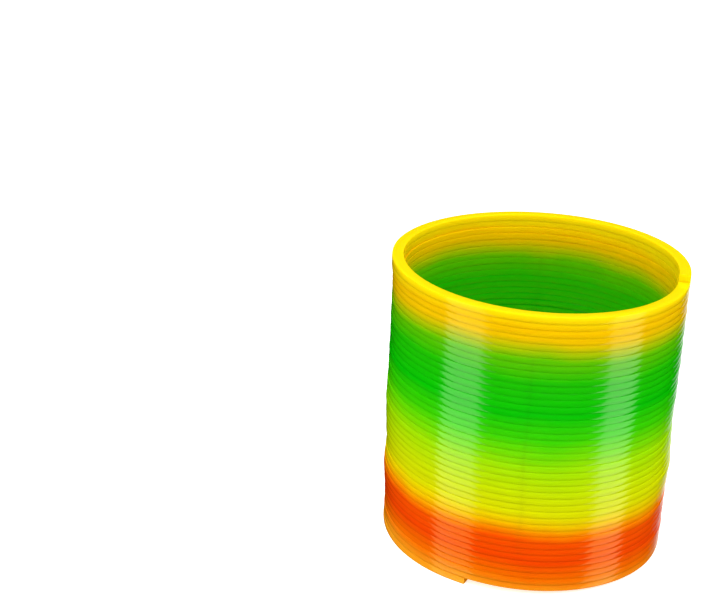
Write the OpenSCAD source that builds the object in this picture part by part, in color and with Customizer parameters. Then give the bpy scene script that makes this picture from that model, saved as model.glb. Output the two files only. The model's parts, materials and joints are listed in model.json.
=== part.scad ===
// Spring coil toy: one flat strip of plastic wound into a closed, left-handed coil
// that stands on end. The coil's axis is +Z, it stands on z = 0, and the origin is
// the middle of its foot. Angles are in degrees from +X towards +Y.
//
// Seen from above the strip climbs clockwise. The back half of each turn is level, and
// the front half is tilted, so that it climbs one level. Only the foot is different: its
// lowest turn stays level for longer and then climbs past the strip's lower end.
//
// When the coil bends or stretches, the strip twists where it passes -X and +X. It is
// divided there, so each open turn is a back link (y > 0) and a front link (y < 0),
// hinged to their neighbours about lines parallel to Y.

/* [Strip] */
// Width of the strip, across the coil's wall
strip_w = 3; // [2:0.1:6]
// Thickness of the strip, along the coil's axis
strip_t = 1.66; // [1.2:0.02:4]
// Radius of the strip's four edges
edge_r = 0.5; // [0.2:0.05:0.55]

/* [Coil] */
// Outer diameter of the coil
coil_od = 75; // [50:1:120]
// Gap between one closed turn and the next
turn_gap = 0.11; // [0.09:0.01:0.3]
// Gap that parts the links where the strip twists
link_gap = 0.1; // [0.05:0.05:0.5]

/* [Turns] */
// Turns of the stack at the foot, which stays closed
foot_turns = 7; // [3:1:12]
// Turns that open, each a back link and a front link
link_turns = 29; // [8:1:29]
// Turns of the stack at the rim, which stays closed
rim_turns = 6; // [3:1:12]

/* [Ends] */
// Angle at which the strip's lower end is cut, in the front half
foot_end = -110; // [-120:1:-109]
// Arc of the ramp by which the lowest turn climbs past the lower end
foot_ramp_arc = 110; // [100:5:115]
// Angle of the middle of that ramp
foot_ramp_middle = -62; // [-64:1:-60]
// Angle at which the strip's upper end is cut
rim_end = -8; // [-8:1:170]

/* [Hidden] */
turn_pitch = strip_t + turn_gap;
outer_r = coil_od / 2;
inner_r = outer_r - strip_w;
middle_r = outer_r - strip_w / 2;
// Angle kept clear of -X and of +X by every link
link_clear = asin(link_gap / 2 / middle_r);
// The level stretches reach this far into the ramps that they join
join_arc = 0.5;
// The level of the stack at the rim, in turns above the foot
rim_level = foot_turns + link_turns;
$fn = 96;

// Colours down the coil, from the foot (0) to the rim (1)
TINTS = [
    [0.00, [1.00, 0.58, 0.05]],
    [0.05, [1.00, 0.40, 0.00]],
    [0.14, [1.00, 0.26, 0.00]],
    [0.20, [1.00, 0.36, 0.00]],
    [0.26, [0.96, 0.75, 0.00]],
    [0.38, [0.76, 0.88, 0.00]],
    [0.50, [0.47, 0.86, 0.00]],
    [0.58, [0.20, 0.81, 0.00]],
    [0.67, [0.00, 0.75, 0.00]],
    [0.79, [0.11, 0.74, 0.00]],
    [0.86, [0.44, 0.74, 0.00]],
    [0.90, [0.91, 0.74, 0.00]],
    [1.00, [1.00, 0.80, 0.00]]
];

function two_digits(n) = n < 10 ? str("0", n) : str(n);
function back_name(n) = str("turn_", two_digits(n), "_back");
function front_name(n) = str("turn_", two_digits(n), "_front");

// The colour at a level, counted in turns above the foot
function tint(level) =
    let (share = level / (rim_level + rim_turns))
    [for (band = [0:2]) lookup(share, [for (stop = TINTS) [stop[0], stop[1][band]]])];

// The strip's section: a rectangle with round edges, standing on its lower face
module strip_section() {
    translate([inner_r + edge_r, 0]) square([strip_w - 2 * edge_r, strip_t]);
    translate([inner_r, edge_r]) square([strip_w, strip_t - 2 * edge_r]);
    for (x = [inner_r + edge_r, outer_r - edge_r], z = [edge_r, strip_t - edge_r])
        translate([x, z]) circle(r = edge_r);
}

// Ramps widen up the foot, until the highest of its turns climbs across the whole front
function ramp_arc(level) = lookup(level, [[0, foot_ramp_arc], [foot_turns - 1, 180]]);
function ramp_middle(level) = lookup(level, [[0, foot_ramp_middle], [foot_turns - 1, -90]]);
function ramp_low_end(level) = ramp_middle(level) + ramp_arc(level) / 2;
function ramp_high_end(level) = ramp_middle(level) - ramp_arc(level) / 2;

// A level stretch of strip, from one angle round to a larger one
module flat_arc(level, from, to) {
    translate([0, 0, level * turn_pitch])
        rotate([0, 0, from])
            rotate_extrude(angle = to - from) strip_section();
}

// The tilted stretch that climbs from a level to the next, cut short at its ends
module ramp(level, low_cut = 0, high_cut = 0) {
    arc = ramp_arc(level);
    tilt = atan(turn_pitch / 2 / (middle_r * sin(arc / 2)));
    translate([0, 0, (level + 0.5) * turn_pitch + strip_t / 2])
        rotate([0, 0, ramp_middle(level)])
            rotate([-tilt, 0, 0])
                rotate([0, 0, high_cut - arc / 2])
                    translate([0, 0, -strip_t / 2])
                        rotate_extrude(angle = arc - low_cut - high_cut) strip_section();
}

// A whole turn of a closed stack, from the top of the ramp below to the top of its own
module closed_turn(level) {
    flat_arc(level, ramp_low_end(level) - join_arc, 360 + ramp_high_end(level - 1) + join_arc);
    ramp(level);
}

// The closed turns that the coil stands on, with the strip's lower end
module foot_stack() {
    top_level = foot_turns - 1;
    color(tint(foot_turns / 2)) {
        flat_arc(0, ramp_low_end(0) - join_arc, 360 + foot_end);
        ramp(0);
        for (level = [1:top_level - 1]) closed_turn(level);
        flat_arc(top_level, -join_arc, 360 + ramp_high_end(top_level - 1) + join_arc);
        ramp(top_level, high_cut = link_clear);
    }
}

module turn_back(n) {
    level = foot_turns + n - 1;
    color(tint(level)) flat_arc(level, link_clear, 180 - link_clear);
}

module turn_front(n) {
    level = foot_turns + n - 1;
    color(tint(level)) ramp(level, link_clear, link_clear);
}

// The closed turns at the rim, with the strip's upper end
module rim_stack() {
    top_level = rim_level + rim_turns;
    color(tint(rim_level + rim_turns / 2)) {
        flat_arc(rim_level, -join_arc, 180 - link_clear);
        ramp(rim_level);
        for (level = [rim_level + 1:top_level - 1]) closed_turn(level);
        flat_arc(top_level, rim_end, 180 + join_arc);
    }
}

foot_stack();
for (n = [1:link_turns]) {
    turn_back(n);
    turn_front(n);
}
rim_stack();
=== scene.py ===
"""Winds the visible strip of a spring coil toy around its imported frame.

The coil is one moulded plastic strip. Its axis is +Z and it stands on z = 0. A place along
the strip is given in turns: turn 0 starts at -X on the foot's level, and the strip climbs
clockwise, seen from above, one level a turn.
"""

import json
import math

import bpy
import numpy as np
from mathutils import Matrix, Vector


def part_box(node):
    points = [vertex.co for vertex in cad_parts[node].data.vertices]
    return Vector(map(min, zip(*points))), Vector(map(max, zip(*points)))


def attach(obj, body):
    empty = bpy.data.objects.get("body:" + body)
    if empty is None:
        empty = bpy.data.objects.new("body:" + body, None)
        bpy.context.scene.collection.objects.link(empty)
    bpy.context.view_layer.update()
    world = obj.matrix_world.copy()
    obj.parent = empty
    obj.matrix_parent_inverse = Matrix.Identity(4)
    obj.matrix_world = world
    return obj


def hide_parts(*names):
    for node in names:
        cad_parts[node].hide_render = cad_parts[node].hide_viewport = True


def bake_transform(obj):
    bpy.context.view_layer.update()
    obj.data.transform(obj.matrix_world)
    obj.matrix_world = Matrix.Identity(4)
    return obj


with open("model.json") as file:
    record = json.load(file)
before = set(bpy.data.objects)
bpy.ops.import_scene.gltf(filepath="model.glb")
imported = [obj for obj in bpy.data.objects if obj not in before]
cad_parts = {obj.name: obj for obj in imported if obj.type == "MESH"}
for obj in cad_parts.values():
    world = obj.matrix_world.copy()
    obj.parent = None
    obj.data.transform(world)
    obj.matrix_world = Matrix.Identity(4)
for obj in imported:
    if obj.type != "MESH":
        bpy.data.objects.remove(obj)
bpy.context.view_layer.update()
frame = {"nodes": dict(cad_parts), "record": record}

bl_info = {
    "name": "Spring Coil Toy",
    "version": (1, 0, 0),
    "blender": (4, 5, 0),
    "location": "View3D > Sidebar > Coil Toy",
    "description": "Winds a colour-banded plastic coil that stands closed on end",
    "category": "Add Mesh",
}

MM = 0.001

# Sizes that the frame holds
first_low, first_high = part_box("turn_01_back")
OUTER_RADIUS = first_high.y
STRIP_THICKNESS = first_high.z - first_low.z
MIDDLE_RADIUS = frame["record"]["mounts"][0]["pos_m"][1]
STRIP_WIDTH = 2 * (OUTER_RADIUS - MIDDLE_RADIUS)
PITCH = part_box("turn_02_back")[0].z - first_low.z
FOOT_TURNS = round(first_low.z / PITCH)
OPEN_TURNS = sum(name.endswith("_back") for name in frame["nodes"])
RIM_LEVEL = FOOT_TURNS + OPEN_TURNS
TOP_LEVEL = round((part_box("rim_stack")[1].z - STRIP_THICKNESS) / PITCH)
COIL_HEIGHT = TOP_LEVEL * PITCH + STRIP_THICKNESS

# The strip is wound open at this climb a turn, so that its turns can be told apart, then closed
OPEN_LEAD = 10 * MM

# Colour bands up the coil: level, then the name of its colour among the settings
BANDS = (
    (0, "foot_amber"),
    (2.6, "foot_orange"),
    (5.6, "vermilion"),
    (8.8, "red_orange"),
    (10.1, "orange"),
    (11.5, "yellow"),
    (13.2, "yellow_green"),
    (16.5, "chartreuse"),
    (19.8, "lime"),
    (21.8, "bright_lime"),
    (24.6, "light_green"),
    (28.2, "green"),
    (33, "leaf_green"),
    (36, "turning_green"),
    (37.6, "olive_yellow"),
    (38.9, "gold"),
    (40.5, "rim_gold"),
    (42, "rim_yellow"),
)

# Sideways lean of the loosely stacked turns: level, then millimetres towards +X
LEAN = (
    (0, 0.15),
    (3, 0.35),
    (6, 0.25),
    (9, 0.05),
    (13, 0.5),
    (17, 0.15),
    (20, -0.05),
    (24, 0.2),
    (30, 0.35),
    (39, 0.4),
    (41, 0.3),
    (43, 0.1),
)

# How far the loosely stacked turns spring out or draw in: level, then millimetres outwards
SPREAD = ((0, -0.35), (5, -0.3), (9, 0.0), (39.5, 0.0), (41, 0.2), (43, 0.2))

# Waves in which turns wander out of line: cycles a turn. The second of each pair is half as strong
WANDER_X = (0.382, 0.171)
WANDER_Y = (0.293, 0.447)

CORNER_SEGMENTS = 3
WALL_CUTS = 3
# The crown of the strip's inner wall, as a share of its outer wall's
INNER_CROWN_SHARE = 0.3
SMOOTH_ANGLE = math.radians(40)

# Radiance of the room straight down, straight up and where the camera looks past the coil
ROOM_BELOW, ROOM_ABOVE, ROOM_SEEN = 0.56, 1.4, 1.2

# Softboxes that the gloss shows, aimed at the coil's middle:
# name, azimuth and elevation in degrees, distance, width and height in metres, radiance
GLOSS_LAMPS = (
    ("softbox_left", -143, -10, 0.6, 0.33, 0.9, 1.6),
    ("softbox_right", -19, -10, 0.6, 0.28, 0.9, 1.7),
    ("panel_behind_right", 80, -26, 0.8, 0.5, 0.6, 0.9),
)
# The same for the lamp that the gloss doesn't show, aimed at the rim
OVERHEAD_LAMP = ("overhead_softbox", -90, 62, 0.8, 0.6, 0.6, 2.6)

CAMERA_PLACE = (0, -361.52 * MM, 205.04 * MM)
# Turns of the camera in radians: down from level, towards +X and about its own line of sight
CAMERA_PITCH, CAMERA_YAW, CAMERA_ROLL = 0.3772, -0.1318, 0.0295
CAMERA_LENS, CAMERA_SENSOR = 76.92, 36


def linear(hex_colour):
    """A colour written as sRGB hex, as the linear values that Blender works in."""
    shares = [int(hex_colour[i : i + 2], 16) / 255 for i in (1, 3, 5)]
    return [s / 12.92 if s <= 0.04045 else ((s + 0.055) / 1.055) ** 2.4 for s in shares]


def colour(name, hex_colour, description):
    return bpy.props.FloatVectorProperty(
        name=name, description=description, subtype="COLOR", min=0, max=1, default=linear(hex_colour)
    )


class CoilSizes(bpy.types.PropertyGroup):
    turn_gap: bpy.props.FloatProperty(
        name="Turn gap",
        description="What shows between closed turns, which rest on each other",
        default=0.01 * MM,
        unit="LENGTH",
    )
    edge_radius: bpy.props.FloatProperty(
        name="Edge radius",
        description="Radius of the strip's four edges",
        default=0.05 * MM,
        unit="LENGTH",
    )
    crown: bpy.props.FloatProperty(
        name="Crown",
        description="How far the strip's wall bulges between its edges",
        default=0.07 * MM,
        unit="LENGTH",
    )
    ramp_arc: bpy.props.FloatProperty(
        name="Foot ramp",
        description="Arc over which the lowest turn climbs",
        default=math.radians(110),
        subtype="ANGLE",
    )
    ramp_middle: bpy.props.FloatProperty(
        name="Foot ramp's middle",
        description="Angle of the middle of that ramp",
        default=math.radians(-62),
        subtype="ANGLE",
    )
    lower_end: bpy.props.FloatProperty(
        name="Lower end",
        description="Angle at which the strip's lower end is cut",
        default=math.radians(-110),
        subtype="ANGLE",
    )
    upper_end: bpy.props.FloatProperty(
        name="Upper end",
        description="Angle at which the strip's upper end is cut",
        default=math.radians(-8),
        subtype="ANGLE",
    )
    band_tilt: bpy.props.FloatProperty(
        name="Band tilt",
        description="How far the colour bands lean from the turns",
        default=math.radians(1.6),
        subtype="ANGLE",
    )
    slack: bpy.props.FloatProperty(
        name="Slack",
        description="How far turns lie out of line with each other",
        default=0.04 * MM,
        unit="LENGTH",
    )
    steps_a_turn: bpy.props.IntProperty(
        name="Steps a turn",
        description="Segments that a turn is made of",
        default=144,
        min=24,
    )


class CoilColours(bpy.types.PropertyGroup):
    foot_amber: colour("Foot amber", "#FB9C1A", "The lowest turn")
    foot_orange: colour("Foot orange", "#FE6C00", "Above the foot")
    vermilion: colour("Vermilion", "#FD4400", "The reddest turns")
    red_orange: colour("Red orange", "#FE5000", "Where red turns to orange")
    orange: colour("Orange", "#FD8400", "Between red and yellow")
    yellow: colour("Yellow", "#F4BF00", "The first yellow turn")
    yellow_green: colour("Yellow green", "#DADB00", "Above the yellow")
    chartreuse: colour("Chartreuse", "#C1E000", "The yellow side of green")
    lime: colour("Lime", "#A1E100", "Below the middle")
    bright_lime: colour("Bright lime", "#78DC00", "The middle")
    light_green: colour("Light green", "#3BD100", "Above the middle")
    green: colour("Green", "#04C002", "The purest green")
    leaf_green: colour("Leaf green", "#1CBC01", "Above the pure green")
    turning_green: colour("Turning green", "#5CBD00", "The last green turn")
    olive_yellow: colour("Olive yellow", "#B4BD02", "Between green and gold")
    gold: colour("Gold", "#EEBC00", "The first gold turn")
    rim_gold: colour("Rim gold", "#FDBF00", "Below the rim")
    rim_yellow: colour("Rim yellow", "#FAD205", "The highest turn")


def deselect_all():
    bpy.ops.object.select_all(action="DESELECT")


def take_up(piece):
    """Makes a piece the only one that operators act on."""
    deselect_all()
    piece.select_set(True)
    bpy.context.view_layer.objects.active = piece


def cut_section(sizes):
    """The strip's section, a wire with round edges and crowned walls. It stands at -X, its middle on z = 0."""
    deselect_all()
    bpy.ops.mesh.primitive_plane_add(size=1, location=(0, 0, 0), rotation=(math.pi / 2, 0, 0))
    section = bpy.context.active_object
    section.scale = (STRIP_WIDTH, PITCH - sizes.turn_gap, 1)
    section.location.x = -MIDDLE_RADIUS
    bpy.ops.object.transform_apply(location=True, rotation=True, scale=True)
    bpy.ops.object.mode_set(mode="EDIT")
    bpy.ops.mesh.select_all(action="SELECT")
    bpy.ops.mesh.bevel(offset=sizes.edge_radius, segments=CORNER_SEGMENTS, affect="VERTICES")
    bpy.ops.mesh.delete(type="ONLY_FACE")
    bpy.ops.object.mode_set(mode="OBJECT")
    # The walls are the only long upright edges. The corners' segments are shorter than their radius
    upright = [
        abs((section.data.vertices[a].co - section.data.vertices[b].co).z) > sizes.edge_radius * 1.5
        for a, b in (edge.vertices for edge in section.data.edges)
    ]
    for vertex in section.data.vertices:
        vertex.select = False
    for edge, chosen in zip(section.data.edges, upright):
        edge.select = chosen
    bpy.ops.object.mode_set(mode="EDIT")
    bpy.ops.mesh.select_mode(type="EDGE")
    bpy.ops.mesh.subdivide(number_cuts=WALL_CUTS)
    bpy.ops.object.mode_set(mode="OBJECT")
    half_thickness = (PITCH - sizes.turn_gap) / 2
    for vertex in section.data.vertices:
        out = vertex.co.x + MIDDLE_RADIUS
        drawn_in = sizes.crown * (vertex.co.z / half_thickness) ** 2
        vertex.co.x -= drawn_in * out / (STRIP_WIDTH / 2) * (1 if out < 0 else INNER_CROWN_SHARE)
    return section


def wind(section, first, last, sizes):
    """A stretch of strip from one count of turns to another, wound open, with closed ends."""
    take_up(section)
    bpy.ops.object.duplicate()
    piece = bpy.context.active_object
    piece.rotation_euler.z = -first * math.tau
    piece.location.z = first * OPEN_LEAD
    bpy.ops.object.transform_apply(location=True, rotation=True, scale=True)
    bpy.ops.object.modifier_add(type="SCREW")
    screw = piece.modifiers[-1]
    screw.axis = "Z"
    screw.angle = -(last - first) * math.tau
    screw.screw_offset = (last - first) * OPEN_LEAD
    screw.iterations = 1
    screw.steps = screw.render_steps = round((last - first) * sizes.steps_a_turn)
    bpy.ops.object.modifier_apply(modifier=screw.name)
    bpy.ops.object.mode_set(mode="EDIT")
    bpy.ops.mesh.select_mode(type="VERT")
    bpy.ops.mesh.select_all(action="DESELECT")
    bpy.ops.mesh.select_non_manifold()
    bpy.ops.mesh.fill_holes(sides=0)
    bpy.ops.mesh.select_all(action="SELECT")
    bpy.ops.mesh.normals_make_consistent(inside=False)
    bpy.ops.object.mode_set(mode="OBJECT")
    bpy.ops.object.shade_smooth_by_angle(angle=SMOOTH_ANGLE)
    return piece


def climbed(turns, sizes):
    """The strip's height in levels. The lowest turn stays level, then ramps up past the lower end.
    Ramps widen up the foot, and from its highest turn on they take the whole front half."""
    level = np.floor(turns)
    angle = math.pi - math.tau * (turns - level)
    foot_levels = (0, FOOT_TURNS - 1)
    half_arc = np.interp(level, foot_levels, (sizes.ramp_arc / 2, math.pi / 2))
    middle = np.interp(level, foot_levels, (sizes.ramp_middle, -math.pi / 2))
    past_middle = np.clip(middle - angle, -half_arc, half_arc)
    return level + (1 + np.sin(past_middle) / np.sin(half_arc)) / 2


def lay(piece, level, sizes):
    """Closes a stretch that was wound open: its turns come down on those below, from a level up."""
    count = len(piece.data.vertices)
    points = np.empty(count * 3, np.float32)
    piece.data.vertices.foreach_get("co", points)
    x, y, z = points.reshape(-1, 3).astype(float).T
    share = (math.pi - np.arctan2(y, x)) / math.tau
    turns = share + np.round(z / OPEN_LEAD - share)
    through = z - turns * OPEN_LEAD
    radius = np.hypot(x, y)
    across = radius - MIDDLE_RADIUS
    turns += level
    height = climbed(turns, sizes)

    sprung = radius + np.interp(height, *zip(*SPREAD)) * MM
    lean = np.interp(height, *zip(*LEAN)) * MM
    first, second = (math.tau * cycles * turns for cycles in WANDER_X)
    wander_x = sizes.slack * (np.sin(first) + 0.5 * np.sin(second))
    first, second = (math.tau * cycles * turns for cycles in WANDER_Y)
    wander_y = sizes.slack * (np.cos(first) + 0.5 * np.sin(second))
    laid = np.column_stack(
        (
            x * sprung / radius + lean + wander_x,
            y * sprung / radius + wander_y,
            height * PITCH + (PITCH - sizes.turn_gap) / 2 + through,
        )
    )
    piece.data.vertices.foreach_set("co", laid.astype(np.float32).ravel())

    # Where the strip's colour and its moulding marks are read from
    band = piece.data.attributes.new("coil_height", "FLOAT", "POINT")
    banded = laid[:, 2] + laid[:, 0] * math.tan(sizes.band_tilt)
    band.data.foreach_set("value", (banded / COIL_HEIGHT).astype(np.float32))
    place = piece.data.attributes.new("strip_place", "FLOAT_VECTOR", "POINT")
    along = turns * math.tau * MIDDLE_RADIUS
    place.data.foreach_set("vector", np.column_stack((along, across, through)).astype(np.float32).ravel())
    closed_place = piece.data.attributes.new("coil_place", "FLOAT_VECTOR", "POINT")
    closed_place.data.foreach_set("vector", laid.astype(np.float32).ravel())
    piece.data.update()
    return piece


def node(tree, kind, inputs=(), **settings):
    """Adds a node. Inputs are (socket, value) pairs, where a value may be another node's output."""
    made = tree.nodes.new(kind)
    for name, value in settings.items():
        setattr(made, name, value)
    for socket, value in inputs:
        if isinstance(value, bpy.types.NodeSocket):
            tree.links.new(value, made.inputs[socket])
        else:
            made.inputs[socket].default_value = value
    return made


def spread_noise(tree, noise, low, high):
    """Noise lies mostly between 0.3 and 0.7. This spreads that out from low to high."""
    return node(
        tree,
        "ShaderNodeMapRange",
        [("Value", noise.outputs["Fac"]), ("From Min", 0.3), ("From Max", 0.7), ("To Min", low), ("To Max", high)],
    )


def banded_polystyrene():
    """High-impact polystyrene, dyed while it is moulded. One colour flows into the next, the surface is
    glossy with a faint moulding texture, and light goes a little way into it."""
    name = "moulded_polystyrene_banded"
    made = bpy.data.materials.get(name)
    if made:
        return made
    colours = bpy.context.scene.coil_colours
    made = bpy.data.materials.new(name)
    made.use_nodes = True
    tree = made.node_tree
    tree.nodes.clear()
    place = node(tree, "ShaderNodeAttribute", attribute_name="strip_place").outputs["Vector"]
    height = node(tree, "ShaderNodeAttribute", attribute_name="coil_height").outputs["Fac"]
    closed_place = node(tree, "ShaderNodeAttribute", attribute_name="coil_place").outputs["Vector"]

    # The dyes mix unevenly: patches 25 mm across push a band up or down by up to half a level
    swirl = node(tree, "ShaderNodeTexNoise", [("Vector", closed_place), ("Scale", 40.0), ("Detail", 2.0)])
    half_level = 0.5 / TOP_LEVEL
    shift = spread_noise(tree, swirl, -half_level, half_level)
    mixed = node(tree, "ShaderNodeMath", [(0, height), (1, shift.outputs["Result"])], operation="ADD")
    ramp = node(tree, "ShaderNodeValToRGB", [("Fac", mixed.outputs["Value"])])
    ramp.color_ramp.interpolation = "LINEAR"
    stops = ramp.color_ramp.elements
    for level, _ in BANDS[:-2]:
        stops.new(level / (TOP_LEVEL + 1))
    for stop, (level, band) in zip(stops, BANDS):
        stop.position = level / (TOP_LEVEL + 1)
        stop.color = (*getattr(colours, band), 1)

    # Flow streaks in the dye, about 0.5 mm wide and 12 mm long
    stretched = node(
        tree, "ShaderNodeVectorMath", [(0, place), (1, (80.0, 2000.0, 2000.0))], operation="MULTIPLY"
    )
    streaks = node(
        tree, "ShaderNodeTexNoise", [("Vector", stretched.outputs["Vector"]), ("Scale", 1.0), ("Detail", 3.0)]
    )
    tone = spread_noise(tree, streaks, 0.95, 1.04)
    dyed = node(
        tree,
        "ShaderNodeVectorMath",
        [(0, ramp.outputs["Color"]), ("Scale", tone.outputs["Result"])],
        operation="SCALE",
    )

    # Moulding texture: ripples along the strip, drawn 0.3 mm apart, as real ones are too fine to show
    ripple_place = node(
        tree, "ShaderNodeVectorMath", [(0, place), (1, (150.0, 3300.0, 3300.0))], operation="MULTIPLY"
    )
    ripples = node(
        tree, "ShaderNodeTexNoise", [("Vector", ripple_place.outputs["Vector"]), ("Scale", 1.0), ("Detail", 2.0)]
    )
    bump = node(
        tree, "ShaderNodeBump", [("Height", ripples.outputs["Fac"]), ("Strength", 0.25), ("Distance", 0.02 * MM)]
    )
    gloss = spread_noise(tree, ripples, 0.09, 0.16)

    # The sheen is white on the greens and warm on the reds and yellows
    redness = node(tree, "ShaderNodeSeparateColor", [("Color", dyed.outputs["Vector"])]).outputs["Red"]
    blue = node(tree, "ShaderNodeMapRange", [("Value", redness), ("To Min", 0.8), ("To Max", 0.1)])
    sheen = node(
        tree, "ShaderNodeCombineColor", [("Red", 1.0), ("Green", 0.97), ("Blue", blue.outputs["Result"])]
    )

    plastic = node(
        tree, "ShaderNodeBsdfPrincipled",
        [
            ("Base Color", dyed.outputs["Vector"]),
            ("Roughness", gloss.outputs["Result"]),
            ("Normal", bump.outputs["Normal"]),
            ("IOR", 1.59),
            ("Specular Tint", sheen.outputs["Color"]),
            ("Subsurface Weight", 0.45),
            ("Subsurface Radius", (1.0, 1.0, 0.8)),
            ("Subsurface Scale", 2.5 * MM),
        ],
    )
    node(tree, "ShaderNodeOutputMaterial", [("Surface", plastic.outputs["BSDF"])])
    return made


def finish_piece(piece, name, level, sizes, replaced):
    """Lays a stretch at its level, gives it its name and its plastic, and hides the CAD node that it stands for.
    """
    piece.name = piece.data.name = name
    lay(piece, level, sizes)
    piece.data.materials.clear()
    piece.data.materials.append(banded_polystyrene())
    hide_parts(replaced)
    return piece


class WindFoot(bpy.types.Operator):
    """Winds the closed turns that the coil stands on, from the strip's lower end"""

    bl_idname = "coil_toy.wind_foot"
    bl_label = "Wind the foot"

    def execute(self, context):
        sizes = context.scene.coil_sizes
        section = cut_section(sizes)
        first = -1 + (math.pi - sizes.lower_end) / math.tau
        piece = wind(section, first, FOOT_TURNS - 0.25, sizes)
        bpy.data.objects.remove(section)
        finish_piece(piece, "foot_strip", 0, sizes, "foot_stack")
        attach(piece, "foot_stack")
        return {"FINISHED"}


class WindOpenTurns(bpy.types.Operator):
    """Winds the turns that open: half-turn stretches, each centred where the strip passes -X or +X"""

    bl_idname = "coil_toy.wind_open_turns"
    bl_label = "Wind the open turns"

    def execute(self, context):
        sizes = context.scene.coil_sizes
        section = cut_section(sizes)
        round_left = wind(section, -0.25, 0.25, sizes)
        round_right = wind(section, 0.25, 0.75, sizes)
        for turn in range(1, OPEN_TURNS + 2):
            level = FOOT_TURNS + turn - 1
            before = f"turn_{turn - 1:02d}_front" if turn > 1 else "foot_stack"
            back = f"turn_{turn:02d}_back" if turn <= OPEN_TURNS else "rim_stack"
            self.add_stretch(round_left, f"twist_left_{turn:02d}_strip", level, before, back, -1, sizes)
            if turn <= OPEN_TURNS:
                front = f"turn_{turn:02d}_front"
                self.add_stretch(round_right, f"twist_right_{turn:02d}_strip", level, back, front, 1, sizes)
        for pattern in (section, round_left, round_right):
            bpy.data.objects.remove(pattern)
        return {"FINISHED"}

    def add_stretch(self, pattern, name, level, before, after, side, sizes):
        """One stretch, from the middle of one link to the middle of the next."""
        take_up(pattern)
        bpy.ops.object.duplicate()
        piece = finish_piece(bpy.context.active_object, name, level, sizes, after)
        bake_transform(piece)


class WindRim(bpy.types.Operator):
    """Winds the closed turns at the rim, up to the strip's upper end"""

    bl_idname = "coil_toy.wind_rim"
    bl_label = "Wind the rim"

    def execute(self, context):
        sizes = context.scene.coil_sizes
        section = cut_section(sizes)
        last = TOP_LEVEL - RIM_LEVEL + (math.pi - sizes.upper_end) / math.tau
        piece = wind(section, 0.25, last, sizes)
        bpy.data.objects.remove(section)
        finish_piece(piece, "rim_strip", RIM_LEVEL, sizes, "rim_stack")
        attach(piece, "rim_stack")
        return {"FINISHED"}


def white_acrylic():
    """Back-lit white acrylic, as product tables have: pale, with only a faint shadow on it."""
    made = bpy.data.materials.new("back_lit_white_acrylic")
    made.use_nodes = True
    tree = made.node_tree
    tree.nodes.clear()
    place = node(tree, "ShaderNodeTexCoord").outputs["Object"]
    grain = node(tree, "ShaderNodeTexNoise", [("Vector", place), ("Scale", 30.0)])
    tone = node(
        tree, "ShaderNodeMapRange", [("Value", grain.outputs["Fac"]), ("To Min", 0.88), ("To Max", 0.92)]
    )
    sheet = node(
        tree, "ShaderNodeBsdfPrincipled",
        [
            ("Base Color", tone.outputs["Result"]),
            ("Roughness", 0.6),
            ("Emission Color", (1.0, 1.0, 1.0, 1.0)),
            ("Emission Strength", 0.6),
        ],
    )
    node(tree, "ShaderNodeOutputMaterial", [("Surface", sheet.outputs["BSDF"])])
    return made


def hang_softbox(name, azimuth, elevation, distance, width, height, radiance, aim_height):
    """A rectangular area light, facing the coil from an azimuth and an elevation in degrees."""
    a, e = math.radians(azimuth), math.radians(elevation)
    aim = Vector((0, 0, aim_height))
    away = Vector((math.cos(a) * math.cos(e), math.sin(a) * math.cos(e), math.sin(e)))
    deselect_all()
    bpy.ops.object.light_add(type="AREA", location=aim + away * distance)
    lamp = bpy.context.active_object
    lamp.name = name
    lamp.rotation_euler = away.to_track_quat("Z", "Y").to_euler()
    lamp.data.shape = "RECTANGLE"
    lamp.data.size = width
    lamp.data.size_y = height
    lamp.data.energy = radiance * math.pi * width * height
    return lamp


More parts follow.
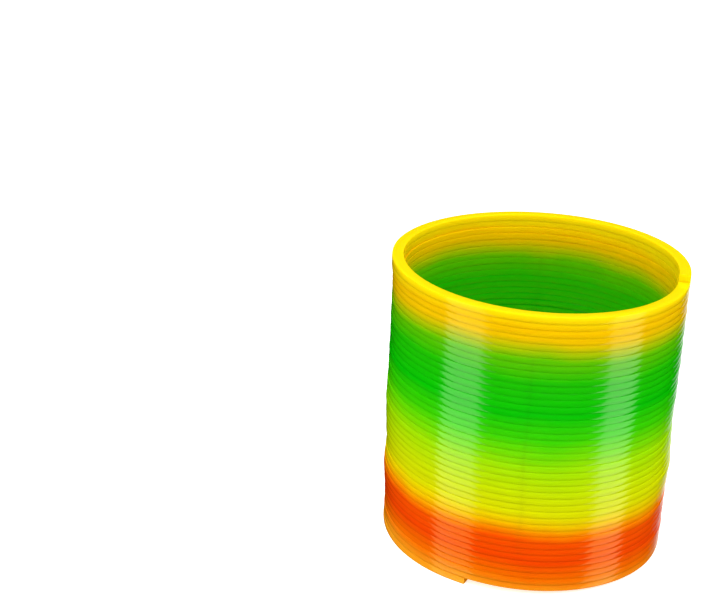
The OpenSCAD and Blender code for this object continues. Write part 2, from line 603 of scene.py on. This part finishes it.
class SetStage(bpy.types.Operator):
    """Sets the white floor, the studio light and the camera"""

    bl_idname = "coil_toy.set_stage"
    bl_label = "Set the stage"

    def execute(self, context):
        scene = context.scene
        scene.view_settings.view_transform = "Standard"
        scene.view_settings.look = "None"
        self.lay_floor()
        self.light_room(scene)
        self.place_camera(scene)
        return {"FINISHED"}

    def lay_floor(self):
        deselect_all()
        bpy.ops.mesh.primitive_plane_add(size=8, location=(0, 0, -0.1 * MM))
        floor = bpy.context.active_object
        floor.name = "floor"
        floor.data.materials.append(white_acrylic())
        floor.visible_glossy = floor.visible_diffuse = False

    def light_room(self, scene):
        """A white room, brightest overhead. The coil's gloss sees it as dark, except for the lamps."""
        world = bpy.data.worlds.new("studio")
        scene.world = world
        world.use_nodes = True
        tree = world.node_tree
        tree.nodes.clear()
        path = node(tree, "ShaderNodeLightPath")
        direction = node(tree, "ShaderNodeTexCoord").outputs["Generated"]
        upward = node(tree, "ShaderNodeSeparateXYZ", [("Vector", direction)]).outputs["Z"]
        brightness = node(
            tree, "ShaderNodeMapRange",
            [("Value", upward), ("From Min", -1.0), ("To Min", ROOM_BELOW), ("To Max", ROOM_ABOVE)],
        )
        white = (1, 1, 1, 1)
        room, dark, backdrop = (
            node(tree, "ShaderNodeBackground", [("Color", white), ("Strength", strength)]).outputs[0]
            for strength in (brightness.outputs["Result"], 0.0, ROOM_SEEN)
        )
        lit = node(tree, "ShaderNodeMixShader", [(0, path.outputs["Is Glossy Ray"]), (1, room), (2, dark)])
        seen = node(
            tree,
            "ShaderNodeMixShader",
            [(0, path.outputs["Is Camera Ray"]), (1, lit.outputs[0]), (2, backdrop)],
        )
        node(tree, "ShaderNodeOutputWorld", [("Surface", seen.outputs[0])])
        for lamp in GLOSS_LAMPS:
            hang_softbox(*lamp, aim_height=COIL_HEIGHT / 2)
        overhead = hang_softbox(*OVERHEAD_LAMP, aim_height=COIL_HEIGHT)
        overhead.visible_glossy = False

    def place_camera(self, scene):
        deselect_all()
        bpy.ops.object.camera_add(location=CAMERA_PLACE)
        camera = bpy.context.active_object
        turned = (
            Matrix.Rotation(-CAMERA_YAW, 3, "Z")
            @ Matrix.Rotation(math.pi / 2 - CAMERA_PITCH, 3, "X")
            @ Matrix.Rotation(CAMERA_ROLL, 3, "Z")
        )
        camera.rotation_euler = turned.to_euler()
        camera.data.sensor_width = CAMERA_SENSOR
        camera.data.lens = CAMERA_LENS
        camera.data.clip_start = 10 * MM
        scene.camera = camera


class CoilPanel(bpy.types.Panel):
    """Lists what the coil is made of"""

    bl_idname = "VIEW3D_PT_coil_toy"
    bl_label = "Coil Toy"
    bl_space_type = "VIEW_3D"
    bl_region_type = "UI"
    bl_category = "Coil Toy"

    def draw(self, context):
        for group in (context.scene.coil_sizes, context.scene.coil_colours):
            box = self.layout.box()
            for name in group.__annotations__:
                box.prop(group, name)
        for maker in OPERATORS:
            self.layout.operator(maker.bl_idname)


OPERATORS = (WindFoot, WindOpenTurns, WindRim, SetStage)
CLASSES = (CoilSizes, CoilColours, *OPERATORS, CoilPanel)


def register():
    for each in CLASSES:
        bpy.utils.register_class(each)
    bpy.types.Scene.coil_sizes = bpy.props.PointerProperty(type=CoilSizes)
    bpy.types.Scene.coil_colours = bpy.props.PointerProperty(type=CoilColours)


def unregister():
    del bpy.types.Scene.coil_colours
    del bpy.types.Scene.coil_sizes
    for each in reversed(CLASSES):
        bpy.utils.unregister_class(each)


def main():
    register()
    bpy.ops.coil_toy.wind_foot()
    bpy.ops.coil_toy.wind_open_turns()
    bpy.ops.coil_toy.wind_rim()
    bpy.ops.coil_toy.set_stage()


if __name__ == "__main__":
    main()
